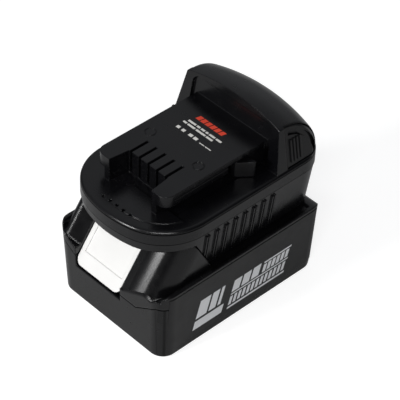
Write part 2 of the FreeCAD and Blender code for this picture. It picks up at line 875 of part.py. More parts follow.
def screw(start, up, head, head_height, radius, shaft):
    """Screw from the outer face of its head to its point, with a driving socket in the head."""
    body = rod(head, start, (0, 0, up), head_height)
    body = body.fuse(rod(radius, start, (0, 0, up), head_height + shaft))
    return body.cut(rod(head / 2, start, (0, 0, up), head_height / 2))


def case_screw(x, y, z, shaft):
    return screw((x, y, z), 1, screw_head_radius, screw_head_height, screw_radius - screw_bite, shaft)


def board_screw(x, y, z, up):
    return screw((x, y, z), up, board_screw_head_radius, board_screw_head_height, board_screw_radius,
                 board_thickness + board_screw_grip)


def pack_case_screws():
    shaft = side_seam_z + screw_grip / 2 - screw_head_height
    return Part.makeCompound([case_screw(x, y, screw_head_sink, shaft) for x, y in pack_screw_points()])


def pack_board_screws():
    z = pack_board_z - board_screw_head_height
    return Part.makeCompound([board_screw(x, pack_board_screw_y, z, 1) for x in (-board_screw_x, board_screw_x)])


# Adapter shells

def plate_wire(inset, z):
    """Plan of the adapter: bowed front, straight sides, round rear corners."""
    bow_y = adapter_front_y + front_bow_radius
    cx = adapter_half - front_corner_radius
    cy = bow_y - math.sqrt((front_bow_radius - front_corner_radius) ** 2 - cx ** 2)
    turn = math.atan2(cy - bow_y, cx)
    bow, corner, rear = front_bow_radius - inset, front_corner_radius - inset, rear_corner_radius - inset
    tx, ty = bow * math.cos(turn), bow_y + bow * math.sin(turn)
    mx, my = cx + corner * math.cos(turn / 2), cy + corner * math.sin(turn / 2)
    x, y1 = adapter_half - inset, adapter_rear_y - inset
    k = rear * (1 - math.sqrt(0.5))

    def at(px, py):
        return Vector(px, py, z)

    return Part.Wire([
        edge_arc(at(-tx, ty), at(0, bow_y - bow), at(tx, ty)),
        edge_arc(at(tx, ty), at(mx, my), at(x, cy)),
        edge_line(at(x, cy), at(x, y1 - rear)),
        edge_arc(at(x, y1 - rear), at(x - k, y1 - k), at(x - rear, y1)),
        edge_line(at(x - rear, y1), at(-x + rear, y1)),
        edge_arc(at(-x + rear, y1), at(-x + k, y1 - k), at(-x, y1 - rear)),
        edge_line(at(-x, y1 - rear), at(-x, cy)),
        edge_arc(at(-x, cy), at(-mx, my), at(-tx, ty)),
    ])


def plate_solid(inset, z0, z1):
    """Straight block of the adapter's plan."""
    return Part.Face(plate_wire(inset, z0)).extrude(Vector(0, 0, z1 - z0))


def skirt_solid(inset, z0, z1):
    """Drafted block of the adapter's plan that narrows downwards from the seam."""
    low = inset + rim_inset + (seam_z - z0) * skirt_rise
    high = inset + rim_inset + (seam_z - z1) * skirt_rise
    return loft(plate_wire(low, z0), plate_wire(high, z1))


def skirt_front_cut():
    """All that lies in front of the skirt's leaning front edge, below the rim."""
    low, high = skirt_low_z - past, floor_z
    near = adapter_front_y - past
    y_low = slope_rear_low_y + skirt_fit - (low - shoulder_z) / slope_rear_rise
    y_high = slope_rear_low_y + skirt_fit - (high - shoulder_z) / slope_rear_rise
    return side_profile([(near, low), (y_low, low), (y_high, high), (near, high)],
                        -half_width - past, half_width + past)


def adapter_screw_points():
    return [(side * adapter_screw_x, y) for side in (-1, 1)
            for y in (adapter_screw_front_y, adapter_screw_rear_y)]


def skirt_ribs():
    """Paired vertical ribs along the right side."""
    band = skirt_solid(-rib_height, skirt_low_z + rib_foot, seam_z - rib_head)
    half, gap = rib_width / 2, rib_groove / 2
    slabs = []
    for i in range(rib_count):
        y = rib_first_y + i * rib_pitch
        slabs.append(box(rail_flange_half, half_width + past, y - half, y - gap, 0, seam_z))
        slabs.append(box(rail_flange_half, half_width + past, y + gap, y + half, 0, seam_z))
    ribs = band.common(Part.makeCompound(slabs))
    return ribs.cut(skirt_solid(adapter_wall / 2, skirt_low_z, seam_z))


def adapter_lower_housing():
    ribs = skirt_ribs()
    body = skirt_solid(0, skirt_low_z, seam_z).fuse(ribs).fuse(mirrored(ribs))
    body = body.cut(skirt_solid(adapter_wall, skirt_low_z - past, floor_z))
    body = body.cut(skirt_solid(adapter_wall, floor_top_z, seam_z + past))
    lip_high = flange_low_z - rail_lip_clear
    lip = box(rail_root_half + rail_lip_clear, half_width, slope_rear_low_y - adapter_wall,
              block_rear_y - block_corner, lip_high - rail_lip_height, lip_high)
    lip = lip.common(skirt_solid(adapter_wall / 2, skirt_low_z, floor_z))
    body = body.fuse(lip).fuse(mirrored(lip)).cut(skirt_front_cut())
    head = screw_head_radius + fit_gap
    for x, y in adapter_screw_points():
        body = body.fuse(rod(screw_head_radius + screw_head_wall, (x, y, floor_z), (0, 0, 1), rim_height))
        body = body.cut(rod(head, (x, y, floor_z - past), (0, 0, 1), past + screw_head_sink + screw_head_height))
        body = body.cut(rod(screw_radius + fit_gap, (x, y, floor_z), (0, 0, 1), rim_height + past))
    for x in (-board_screw_x, board_screw_x):
        y = adapter_board_screw_y
        depth = board_screw_grip + screw_tip_room
        body = body.fuse(rod(board_screw_radius + board_boss_wall, (x, y, floor_z), (0, 0, 1),
                             adapter_board_z - floor_z))
        body = body.cut(rod(board_screw_radius, (x, y, adapter_board_z - depth), (0, 0, 1), depth + past))
    body = body.cut(blade_slots(floor_z - past, floor_top_z + past))
    room = hook_pocket_room
    pocket = box(-hook_half - room, hook_half + room, hook_front_y - room, hook_rear_y + room,
                 floor_z - past, floor_z + hook_pocket_depth)
    return body.cut(pocket).removeSplitter()


def tower_profile(inset):
    """Half plane outline of the tower, in (x, distance from its axis)."""
    crown = tower_crown_radius - inset
    top = tower_radius - inset
    half = tower_base_half - inset
    corner = tower_corner - inset / 2
    centre_r = top - crown
    cx = half - corner
    cr = centre_r + math.sqrt((crown - corner) ** 2 - cx ** 2)
    turn = math.atan2(cr - centre_r, cx)
    tx, tr = crown * math.cos(turn), centre_r + crown * math.sin(turn)
    mx, mr = cx + corner * math.cos(turn / 2), cr + corner * math.sin(turn / 2)

    def at(x, r):
        return Vector(x, tower_axis_y, tower_axis_z + r)

    return Part.Face(Part.Wire([
        edge_line(at(-half, 0), at(half, 0)),
        edge_line(at(half, 0), at(half, cr)),
        edge_arc(at(half, cr), at(mx, mr), at(tx, tr)),
        edge_arc(at(tx, tr), at(0, top), at(-tx, tr)),
        edge_arc(at(-tx, tr), at(-mx, mr), at(-half, cr)),
        edge_line(at(-half, cr), at(-half, 0)),
    ]))


def tower_front_line(inset, z):
    """Y of the tower's leaning front face."""
    lean = math.radians(tower_front_lean)
    return tower_front_y + inset / math.cos(lean) + (z - plate_z) * math.tan(lean)


def tower_solid(inset, z0, front_inset=None):
    """Barrel-topped tower: swept crown, leaning sides, leaning front, round rear corners."""
    front_inset = inset if front_inset is None else front_inset
    profile = tower_profile(inset)
    rear = profile.revolve(Vector(0, tower_axis_y, tower_axis_z), Vector(-1, 0, 0), 90)
    body = rear.fuse(profile.extrude(Vector(0, -2 * tower_front_run, 0)))
    lean = math.tan(math.radians(tower_lean))
    half = tower_base_half - inset
    high, far = tower_top_z + past, adapter_rear_y + past
    narrow = half - (high - plate_z) * lean
    wide = half + (plate_z - z0) * lean
    sides = front_profile([(-wide, z0), (wide, z0), (narrow, high), (-narrow, high)],
                          tower_front_y - tower_front_run, far)
    face = side_profile([
        (tower_front_line(front_inset, z0), z0), (far, z0), (far, high),
        (tower_front_line(front_inset, high), high),
    ], -half_width, half_width)
    return body.common(sides).common(face).common(plate_solid(inset + tower_plan_step, z0, high))


def tower_disc(radius, x0, x1):
    """Disc about the tower's axis, used for the squeeze buttons' arc."""
    return rod(radius, (x0, tower_axis_y, tower_axis_z), (1, 0, 0), x1 - x0)


def tower_recess():
    """Shallow panel sunk into the tower's front face."""
    z0, z1 = plate_z, tower_recess_high_z
    y0, y1 = tower_front_line(0, z0), tower_front_line(0, z1)
    depth = tower_front_recess
    slab = side_profile([(y0 - tower_front_run, z0), (y0 + depth, z0), (y1 + depth, z1), (y1 - tower_front_run, z1)],
                        -tower_recess_half, tower_recess_half)
    corners = [e for e in slab.Edges if e.BoundBox.XLength < 0.01 and e.BoundBox.ZLength < 0.01
               and e.BoundBox.ZMin > z1 - 0.01]
    return slab.makeFillet(tower_recess_round, corners)


def pad_window(gap, travel):
    """Space of the right squeeze button with a gap all round, deepened by its travel."""
    x0, x1 = pad_inner_x - gap - travel, half_width + past
    keep = box(x0, x1, pad_front_y - gap, adapter_rear_y, latch_low_z - gap, tower_top_z)
    return tower_disc(pad_arc_radius + gap, x0, x1).common(keep)


def platform_plan(z0, z1):
    """Flange of the two rails, with rounded tips and the flared recess between the arms."""
    tip, r = platform_front_y, platform_tip_round
    k = r * (1 - math.sqrt(0.5))
    outer, mouth = platform_half, recess_half + recess_flare

    def at(x, y):
        return Vector(x, y, z0)

    edges = [
        edge_line(at(outer, tower_axis_y), at(outer, tip + r)),
        edge_arc(at(outer, tip + r), at(outer - k, tip + k), at(outer - r, tip)),
        edge_line(at(outer - r, tip), at(mouth, tip)),
        edge_line(at(mouth, tip), at(recess_half, recess_rear_y)),
        edge_line(at(recess_half, recess_rear_y), at(-recess_half, recess_rear_y)),
        edge_line(at(-recess_half, recess_rear_y), at(-mouth, tip)),
        edge_line(at(-mouth, tip), at(-outer + r, tip)),
        edge_arc(at(-outer + r, tip), at(-outer + k, tip + k), at(-outer, tip + r)),
        edge_line(at(-outer, tip + r), at(-outer, tower_axis_y)),
        edge_line(at(-outer, tower_axis_y), at(outer, tower_axis_y)),
    ]
    return Part.Face(Part.Wire(edges)).extrude(Vector(0, 0, z1 - z0))


def platform_solid():
    """Rails, their undercut stem and the grooved flange edge."""
    flange = platform_plan(rail_low_z, platform_z)
    hook_room = box(stem_half_rear, platform_half + past, rail_bead_rear_y, tower_axis_y,
                    rail_low_z - past, rail_top_under_z)
    flange = flange.cut(both_sides(hook_room))
    edge, bottom = platform_half + past, platform_half - rail_groove
    centre_z = rail_top_under_z - rail_groove_drop
    rise = rail_groove + past
    groove = front_profile([(edge, centre_z + rise), (bottom, centre_z), (edge, centre_z - rise)],
                           platform_front_y + platform_tip_round, rail_bead_rear_y)
    flange = flange.cut(both_sides(groove))
    foot = plate_z - plate_thickness / 2
    stem_front = platform_plan(foot, rail_low_z + rail_groove).common(
        box(-stem_half, stem_half, platform_front_y, stem_step_y, foot, platform_z))
    stem_rear = box(-stem_half_rear, stem_half_rear, stem_step_y, tower_axis_y, foot, platform_z - rail_plate / 2)
    return joined([flange, stem_front, stem_rear])


def slot_positions():
    return [(i - (slot_count - 1) / 2) * slot_pitch for i in range(slot_count)]


def base_plate():
    """Plate with its rounded rim and the raised panel in front of the platform."""
    base = plate_solid(0, seam_z, plate_z)
    base = base.makeFillet(plate_edge_round, [e for e in base.Edges if e.BoundBox.ZMin > plate_z - 0.01])
    raised = plate_solid(raised_inset, plate_z - raised_height, plate_z + raised_height)
    raised = raised.common(box(-half_width, half_width, adapter_front_y, channel_front_y, 0, platform_z))
    raised = raised.cut(box(-half_width, -raised_notch_x, vent_y, channel_front_y, 0, platform_z))
    return base.fuse(raised)


def adapter_rooms():
    """Hollows of the upper housing: under the plate, in the tower and behind the slots."""
    front = slot_inner_y + slot_wall
    half, half_rear = stem_half - stem_wall, stem_half_rear - stem_wall
    return [
        plate_solid(adapter_wall, seam_z - past, plate_under_z),
        tower_solid(adapter_wall, plate_under_z - past, adapter_wall + tower_front_recess),
        box(-half, half, front, stem_step_y - stem_wall, plate_under_z - past, rail_top_under_z),
        box(-half_rear, half_rear, front, pad_front_y, plate_under_z - past, rail_top_under_z),
    ]


def latch_rooms():
    """Openings on the right side for the squeeze button, its arm and the hook's channel."""
    arm = box(latch_arm_x - latch_travel - stem_clear, latch_arm_x + latch_arm_thickness + latch_travel,
              tower_front_y - past, pad_front_y + pad_front_step, plate_z + fit_gap, latch_hook_high_z)
    channel = box(stem_half, platform_half, channel_front_y, tower_front_y + channel_depth,
                  plate_z - channel_depth, slot_low_z)
    return [arm, channel, pad_window(latch_gap, latch_travel)]


def adapter_upper_housing():
    body = joined([base_plate(), platform_solid(), tower_solid(0, plate_z - plate_thickness / 2)])
    keep = box(-platform_half - fit_gap, platform_half + fit_gap, -half_length, half_length, 0, platform_z)
    body = body.cut(tower_recess().cut(keep))
    for room in adapter_rooms():
        body = body.cut(room)
    for room in latch_rooms():
        body = body.cut(both_sides(room))
    half = slot_width / 2
    slot_front = recess_rear_y - past
    for x in slot_positions():
        body = body.cut(box(x - half, x + half, slot_front, slot_inner_y, slot_low_z, platform_z + past))
        body = body.cut(box(x - half, x + half, slot_front, tool_clip_front_y, slot_low_z, rail_top_under_z))
    for i in range(vent_count):
        x = vent_centre_x + (i - (vent_count - 1) / 2) * vent_pitch
        body = body.cut(rod(vent_radius, (x, vent_y, plate_z - vent_depth), (0, 0, 1), vent_depth + past))
    for x in (-mark_spacing / 2, mark_spacing / 2):
        start = (x, mark_y, platform_z - mark_depth)
        body = body.cut(tube(mark_radius, mark_radius - mark_line, start, (0, 0, 1), past))
    plate = box(spring_plate_x, spring_plate_x + spring_plate, latch_spring_y - spring_plate_half,
                latch_spring_y + spring_plate_half, latch_spring_z - spring_plate_half, tower_top_z)
    body = body.fuse(both_sides(plate.common(tower_solid(adapter_wall / 2, plate_z))))
    for x, y in adapter_screw_points():
        body = body.fuse(rod(screw_radius + screw_boss_wall, (x, y, seam_z), (0, 0, 1),
                             band_height - plate_thickness / 2))
        side_x = math.copysign(adapter_half, x)
        web = box(min(x, side_x), max(x, side_x), y - screw_web / 2, y + screw_web / 2, seam_z, plate_under_z)
        body = body.fuse(web.common(plate_solid(adapter_wall / 2, seam_z, plate_under_z)))
        body = body.cut(rod(screw_radius - screw_bite, (x, y, seam_z - past), (0, 0, 1),
                            past + plate_under_z - seam_z))
    return body.removeSplitter()


def squeeze_pad():
    """Right squeeze button: hollow, with a scooped ring and short ribs on its face."""
    pad = tower_solid(pad_sink, plate_z).common(pad_window(0, 0))
    x0 = pad_inner_x - past
    inner = tower_solid(pad_sink + pad_wall, plate_z)
    inner = inner.common(tower_disc(pad_arc_radius - pad_wall, x0, half_width))
    pad = pad.cut(inner.common(box(x0, half_width, pad_front_y + pad_wall, adapter_rear_y,
                                   latch_low_z + pad_wall, tower_top_z)))
    ring = pad_arc_radius - pad_rim
    scoop = tower_disc(ring, x0, half_width).cut(tower_disc(ring - pad_scoop_width, x0, half_width))
    scoop = scoop.cut(tower_solid(pad_sink + pad_scoop_depth, plate_z))
    pad = pad.cut(scoop.common(box(x0, half_width, pad_front_y + pad_rim, adapter_rear_y,
                                   latch_low_z, tower_top_z)))
    for i in range(pad_rib_count):
        y = pad_front_y + pad_rib_first + i * pad_rib_pitch
        slab = box(pad_inner_x + pad_wall, half_width, y - pad_rib_width / 2, y + pad_rib_width / 2,
                   latch_low_z + pad_wall, pad_rib_high_z)
        rib = tower_solid(pad_sink - pad_rib_height, plate_z).common(slab)
        pad = pad.fuse(rib.cut(tower_solid(pad_sink + pad_wall / 2, plate_z)))
    return pad


def right_latch():
    """Squeeze button, arm and hook in one moulding."""
    x0, x1 = latch_arm_x, latch_arm_x + latch_arm_thickness
    low, high = latch_low_z, latch_arm_top_z
    arm = box(x0, x1, latch_hook_front_y, latch_arm_rear_y, low, high)
    inside = tower_solid(pad_sink + pad_wall / 2, plate_z)
    webs = [box(x0, half_width, y, y + latch_web, low, high).common(inside)
            for y in (pad_front_y + pad_wall, latch_arm_rear_y - latch_web)]
    out = platform_half + latch_hook_out
    hook = plan_profile([
        (x0, latch_hook_front_y), (x1, latch_hook_front_y), (out, latch_hook_rear_y - latch_hook_land),
        (out, latch_hook_rear_y), (x0, latch_hook_rear_y),
    ], low, latch_hook_high_z)
    return joined([squeeze_pad(), arm, hook] + webs)


def latch_spring():
    """Spring between the housing's plate and the right latch's arm."""
    x0 = spring_plate_x + spring_plate
    inner = latch_spring_radius - latch_spring_wire
    return tube(latch_spring_radius, inner, (x0, latch_spring_y, latch_spring_z), (1, 0, 0), latch_arm_x - x0)


# Adapter inside

def blades():
    """Centre, thickness, front, length and foot of each blade."""
    half = blade_spacing / 2
    rows = [(x, blade_thickness, blade_front_y, blade_length, blade_low_z) for x in (-half, half)]
    return rows + [(x, signal_thickness, signal_front_y, signal_length, signal_low_z)
                   for x in signal_positions()]


def blade(row):
    """Flat blade with a bevelled leading foot, up through the board."""
    x, thick, y, length, low = row
    high = board_top_z + blade_solder
    return side_profile([
        (y, low + blade_bevel), (y + blade_bevel, low), (y + length, low), (y + length, high), (y, high),
    ], x - thick / 2, x + thick / 2)


def blade_slots(z0, z1):
    """Clearance slots for every blade between two heights."""
    slots = []
    for x, thick, y, length, low in blades():
        half = thick / 2 + fit_gap
        slots.append(box(x - half, x + half, y - fit_gap, y + length + fit_gap, z0, z1))
    return Part.makeCompound(slots)


def blade_carrier():
    """Block on the floor that holds the blades upright."""
    m = blade_carrier_margin
    half = blade_spacing / 2 + m
    block = box(-half, half, blade_front_y - m, blade_front_y + blade_length + m, floor_top_z, adapter_board_z)
    return block.cut(blade_slots(floor_z, seam_z))


def adapter_board():
    z = adapter_board_z
    board = box(-adapter_board_half, adapter_board_half, adapter_board_front_y, adapter_board_rear_y,
                z, board_top_z)
    board = board.cut(blade_slots(z - past, board_top_z + past))
    for x in (-board_screw_x, board_screw_x):
        hole = rod(board_screw_radius + fit_gap, (x, adapter_board_screw_y, z - past), (0, 0, 1),
                   board_thickness + 2 * past)
        board = board.cut(hole)
    return board


def adapter_board_parts():
    """Coil, controller, two power transistors and two capacitors on the board."""
    z = board_top_z
    row_y = adapter_board_rear_y - parts_rear_gap
    parts = [rod(coil_radius, (-parts_spacing - chip_size / 2, row_y, z), (0, 0, 1), coil_height),
             box(-chip_size / 2, chip_size / 2, row_y, row_y + chip_size, z, z + chip_height)]
    for i in range(2):
        x = chip_size + i * parts_spacing
        parts.append(box(x, x + switch_width, row_y - switch_length / 2, row_y + switch_length / 2,
                         z, z + switch_height))
    front_y_parts = blade_front_y - blade_carrier_margin - capacitor_radius
    parts += [rod(capacitor_radius, (x, front_y_parts, z), (0, 0, 1), capacitor_height)
              for x in (-parts_spacing, parts_spacing)]
    return Part.makeCompound(parts)


def contact_clip(x):
    """Fork that grips a tool's blade behind its slot."""
    y0, y1 = tool_clip_front_y, tool_clip_rear_y
    leaf = box(tool_clip_outer - tool_clip_leaf, tool_clip_outer, y0, y1, tool_clip_low_z, tool_clip_high_z)
    base = box(-tool_clip_outer, tool_clip_outer, y1 - tool_clip_base, y1, board_top_z, tool_clip_high_z)
    clip = joined([leaf, mirrored(leaf), base])
    clip.translate(Vector(x, 0, 0))
    return clip


def contact_carrier():
    """Block that stands on the board and holds the five forks."""
    half = slot_positions()[-1] + tool_clip_outer + carrier_margin
    y0, y1 = tool_clip_rear_y - tool_clip_base, tool_clip_rear_y
    block = box(-half, half, y0 - carrier_margin, y1 + carrier_margin, board_top_z, board_top_z + carrier_height)
    gap = fit_gap / 2
    for x in slot_positions():
        block = block.cut(box(x - tool_clip_outer - gap, x + tool_clip_outer + gap, y0 - gap, y1 + gap,
                              board_top_z - past, board_top_z + carrier_height + past))
    return block


def adapter_case_screws():
    start = floor_z + screw_head_sink
    shaft = plate_under_z - screw_tip_room - start - screw_head_height
    return Part.makeCompound([case_screw(x, y, start, shaft) for x, y in adapter_screw_points()])


def adapter_board_screws():
    z = board_top_z + board_screw_head_height
    return Part.makeCompound([board_screw(x, adapter_board_screw_y, z, -1) for x in (-board_screw_x, board_screw_x)])


def build():
    half = blade_spacing / 2
    rows = blades()
    latch = right_latch()
    spring = latch_spring()
    holder = cell_holder()
    label = pack_label()
    parts = {
        "pack_lower_case": pack_lower_case(),
        "pack_upper_case": pack_upper_case(),
        "pack_release_button": release_button(),
        "pack_button_springs": button_springs(),
        "pack_label_right": label,
        "pack_label_left": mirrored(label),
        "cells": cells(),
        "cell_holder_right": holder,
        "cell_holder_left": mirrored(holder),
        "cell_straps_right": cell_straps(1),
        "cell_straps_left": cell_straps(-1),
        "pack_board": pack_board(),
        "pack_clip_positive": pack_clip(half),
        "pack_clip_negative": pack_clip(-half),
        "pack_data_socket": pack_data_socket(),
        "pack_case_screws": pack_case_screws(),
        "pack_board_screws": pack_board_screws(),
        "adapter_upper_housing": adapter_upper_housing(),
        "adapter_lower_housing": adapter_lower_housing(),
        "right_latch": latch,
        "left_latch": mirrored(latch),
        "right_latch_spring": spring,
        "left_latch_spring": mirrored(spring),
        "adapter_board": adapter_board(),
        "adapter_board_parts": adapter_board_parts(),
        "contact_carrier": contact_carrier(),
        "input_blade_negative": blade(rows[0]),
        "input_blade_positive": blade(rows[1]),
        "input_signal_blades": Part.makeCompound([blade(row) for row in rows[2:]]),
        "blade_carrier": blade_carrier(),
        "adapter_case_screws": adapter_case_screws(),
        "adapter_board_screws": adapter_board_screws(),
    }
    for i, x in enumerate(slot_positions()):
        parts["contact_clip_%d" % (i + 1)] = contact_clip(x)
    return parts


os.makedirs("parts", exist_ok=True)
for node, shape in build().items():
    shape.exportStep("parts/%s.step" % node)
    volume = sum(s.Volume for s in shape.Solids)
    print(node, len(shape.Solids), round(volume, 1), shape.isValid())
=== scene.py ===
import math
import bmesh
import bpy
from mathutils import Matrix, Vector

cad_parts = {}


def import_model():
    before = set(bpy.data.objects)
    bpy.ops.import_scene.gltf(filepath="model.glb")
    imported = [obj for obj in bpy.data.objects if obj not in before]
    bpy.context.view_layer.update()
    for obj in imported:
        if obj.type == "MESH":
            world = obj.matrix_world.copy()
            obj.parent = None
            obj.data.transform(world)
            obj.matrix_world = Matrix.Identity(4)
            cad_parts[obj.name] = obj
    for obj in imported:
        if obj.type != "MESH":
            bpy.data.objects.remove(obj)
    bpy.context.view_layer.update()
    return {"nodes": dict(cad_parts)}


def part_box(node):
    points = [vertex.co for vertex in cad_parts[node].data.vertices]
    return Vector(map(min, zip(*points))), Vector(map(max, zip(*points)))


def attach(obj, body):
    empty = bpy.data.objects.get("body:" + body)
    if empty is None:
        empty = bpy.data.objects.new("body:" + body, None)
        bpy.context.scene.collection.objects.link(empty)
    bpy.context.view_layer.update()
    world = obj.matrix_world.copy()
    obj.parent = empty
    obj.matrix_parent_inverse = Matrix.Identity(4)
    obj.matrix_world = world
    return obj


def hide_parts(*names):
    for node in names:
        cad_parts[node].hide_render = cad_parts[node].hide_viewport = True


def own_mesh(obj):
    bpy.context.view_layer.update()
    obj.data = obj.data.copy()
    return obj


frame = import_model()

MM = 0.001

# Camera, from the perspective of the photographed edges: degrees, metres, lens in millimetres
camera_azimuth = 45.06
camera_elevation = 41.62
camera_roll = 2.24
camera_distance = 945.27 * MM
camera_shift_right = 4.04 * MM
camera_shift_up = -1.03 * MM
camera_height = 50.3 * MM
camera_lens = 173.76
camera_sensor = 36.0
camera_near = 0.01
camera_far = 20.0

# Sizes of the CAD part that the prints, lines and springs follow
case_half_width = 38.806 * MM
case_top = 41.8 * MM
case_draft = math.tan(math.radians(2.2))
case_seam_low = 24.9 * MM
case_seam_half_low = 19.0 * MM
case_seam_half_high = 33.0 * MM
case_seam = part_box("pack_lower_case")[1][2]
rim_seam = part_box("adapter_lower_housing")[1][2]
rim_height = 6.3 * MM
rim_top = rim_seam + rim_height
platform_top = 88.8 * MM
sticker_thickness = 0.25 * MM

# Seam lines painted black as the shade in the joints' gaps, with the shares of their half width
# between which they fade
shade_line_half = 0.3 * MM
line_solid = 0.6
line_gone = 1.4

# Two faint upright lines of painted shade at the lower case's front right corner, standing in for
# the shaded edges of a side panel
corner_inner = 30.0 * MM
corner_rear = -49.0 * MM
corner_front_line = 32.8 * MM
corner_front_shade = 0.3
corner_side_line = -50.1 * MM
corner_side_half = 0.5 * MM
corner_side_shade = 0.45

# Broad crown over the right flank of the front slope
flank_start = 12.5 * MM
flank_end = 41.0 * MM
flank_fall = 12.0 * MM
flank_front = -53.4 * MM
flank_rear = -22.0 * MM

# Prints; the red bar's blocks in millimetres across the platform
print_half = 0.05 * MM
print_lean = 0.25
red_start = -10.2
red_step = 3.1
red_width = 2.5
red_count = 6

# Springs
coil_wire = 0.35 * MM
coil_turns = 6
coil_steps = 20
coil_sides = 8

# Feature sizes and spreads in the materials
noise_low = 0.3
noise_high = 0.7
tone_size = 18.0 * MM
gloss_size = 6.0 * MM
gloss_below = 0.035
gloss_above = 0.045
grain_strength = 0.6
tarnish_size = 4.0 * MM
drawn_line_size = 0.6 * MM
drawn_line_depth = 0.02 * MM
drawn_line_strength = 0.4
drawn_gloss_below = 0.06
drawn_gloss_above = 0.1
edge_samples = 6
# Colour of the painted shade lines
painted_shade_colour = (0.0, 0.0, 0.0)

# Sockets of the mix node when it mixes colours
mix_factor = 0
mix_first = 6
mix_second = 7
mix_result = 2

# Floor
floor_reach = 4.0
floor_cells = 8
floor_drop = 0.2 * MM
floor_dark = (0.46, 0.46, 0.46)
floor_light = (0.50, 0.50, 0.50)
floor_tone_size = 50.0 * MM
floor_roughness = 0.9
floor_specular = 0.1
floor_glow = 0.75
floor_glossy_share = 0.12

# Lamps: place, size and watts
lamp_target = (0.0, 0.0, 0.05)
lamps = {
    "key": ((0.65, -0.65, 0.75), (0.60, 0.12), 6.9),
    "front": ((-0.17, -0.90, 0.52), (0.22, 0.18), 6.8),
}

# Surroundings: even part, then the direction and strength of the soft bright areas
surroundings_colour = (0.94, 0.96, 1.0, 1.0)
surroundings_base = 0.045
surroundings = (
    ((-0.354, 0.612, 0.707), 0.29),
    ((-0.354, -0.612, 0.707), 0.32),
    ((-0.847, 0.489, 0.208), 0.10),
    ((0.0, 0.978, 0.208), 0.05),
)
bright_start = 0.57
bright_full = 0.98


# Material nodes

def new_material(name):
    """An empty node material with its shader."""
    material = bpy.data.materials.new(name)
    material.use_nodes = True
    nodes = material.node_tree.nodes
    nodes.clear()
    shader = nodes.new("ShaderNodeBsdfPrincipled")
    output = nodes.new("ShaderNodeOutputMaterial")
    material.node_tree.links.new(shader.outputs["BSDF"], output.inputs["Surface"])
    return material, shader


def noise(material, size, detail, roughness=0.5, stretch=None):
    """Noise over the object's own coordinates, with a feature size in metres."""
    nodes, links = material.node_tree.nodes, material.node_tree.links
    source = nodes.new("ShaderNodeTexCoord").outputs["Object"]
    if stretch:
        mapping = nodes.new("ShaderNodeMapping")
        mapping.inputs["Scale"].default_value = stretch
        links.new(source, mapping.inputs["Vector"])
        source = mapping.outputs["Vector"]
    node = nodes.new("ShaderNodeTexNoise")
    node.inputs["Scale"].default_value = 1.0 / size
    node.inputs["Detail"].default_value = detail
    node.inputs["Roughness"].default_value = roughness
    links.new(source, node.inputs["Vector"])
    return node.outputs["Fac"]


def ranged(material, value, low, high, start=noise_low, end=noise_high, smooth=False):
    """A value moved from the range start to end on to the range low to high."""
    node = material.node_tree.nodes.new("ShaderNodeMapRange")
    node.interpolation_type = "SMOOTHSTEP" if smooth else "LINEAR"
    node.inputs["From Min"].default_value = start
    node.inputs["From Max"].default_value = end
    node.inputs["To Min"].default_value = low
    node.inputs["To Max"].default_value = high
    material.node_tree.links.new(value, node.inputs["Value"])
    return node.outputs["Result"]


def mixed(material, factor, first, second):
    """A colour between two, by a factor."""
    node = material.node_tree.nodes.new("ShaderNodeMix")
    node.data_type = "RGBA"
    for socket, colour in ((node.inputs[mix_first], first), (node.inputs[mix_second], second)):
        if isinstance(colour, tuple):
            socket.default_value = (*colour, 1.0)
        else:
            material.node_tree.links.new(colour, socket)
    material.node_tree.links.new(factor, node.inputs[mix_factor])
    return node.outputs[mix_result]


def calculated(material, operation, first, *others):
    """An arithmetic step on one value, or on several from left to right."""
    result = first
    for other in others or (0.0,):
        node = material.node_tree.nodes.new("ShaderNodeMath")
        node.operation = operation
        for socket, value in zip(node.inputs, (result, other)):
            if isinstance(value, float):
                socket.default_value = value
            else:
                material.node_tree.links.new(value, socket)
        result = node.outputs[0]
    return result


def coordinates(material):
    """The object's own coordinates as three values."""
    nodes = material.node_tree.nodes
    split = nodes.new("ShaderNodeSeparateXYZ")
    source = nodes.new("ShaderNodeTexCoord").outputs["Object"]
    material.node_tree.links.new(source, split.inputs[0])
    return split.outputs


def bumped(material, shader, height, distance, strength, edge=0.0, form=None):
    """Fine height on the shader's normal, over a broad form and edges softened by a radius."""
    nodes, links = material.node_tree.nodes, material.node_tree.links
    bump = nodes.new("ShaderNodeBump")
    bump.inputs["Distance"].default_value = distance
    bump.inputs["Strength"].default_value = strength
    links.new(height, bump.inputs["Height"])
    under = bump
    if form:
        under = nodes.new("ShaderNodeBump")
        under.inputs["Distance"].default_value = 1.0
        under.inputs["Strength"].default_value = 1.0
        links.new(form(material), under.inputs["Height"])
        links.new(under.outputs["Normal"], bump.inputs["Normal"])
    if edge:
        bevel = nodes.new("ShaderNodeBevel")
        bevel.samples = edge_samples
        bevel.inputs["Radius"].default_value = edge
        links.new(bevel.outputs["Normal"], under.inputs["Normal"])
    links.new(bump.outputs["Normal"], shader.inputs["Normal"])


# Lines of painted shade, and forms, on the plastics

def shade_line_at(material, value, target, half):
    """Painted shade: one on a thin stripe where a value meets a target, nothing beside it."""
    away = calculated(material, "ABSOLUTE", calculated(material, "SUBTRACT", value, target))
    return ranged(material, away, 1.0, 0.0, half * line_solid, half * line_gone)


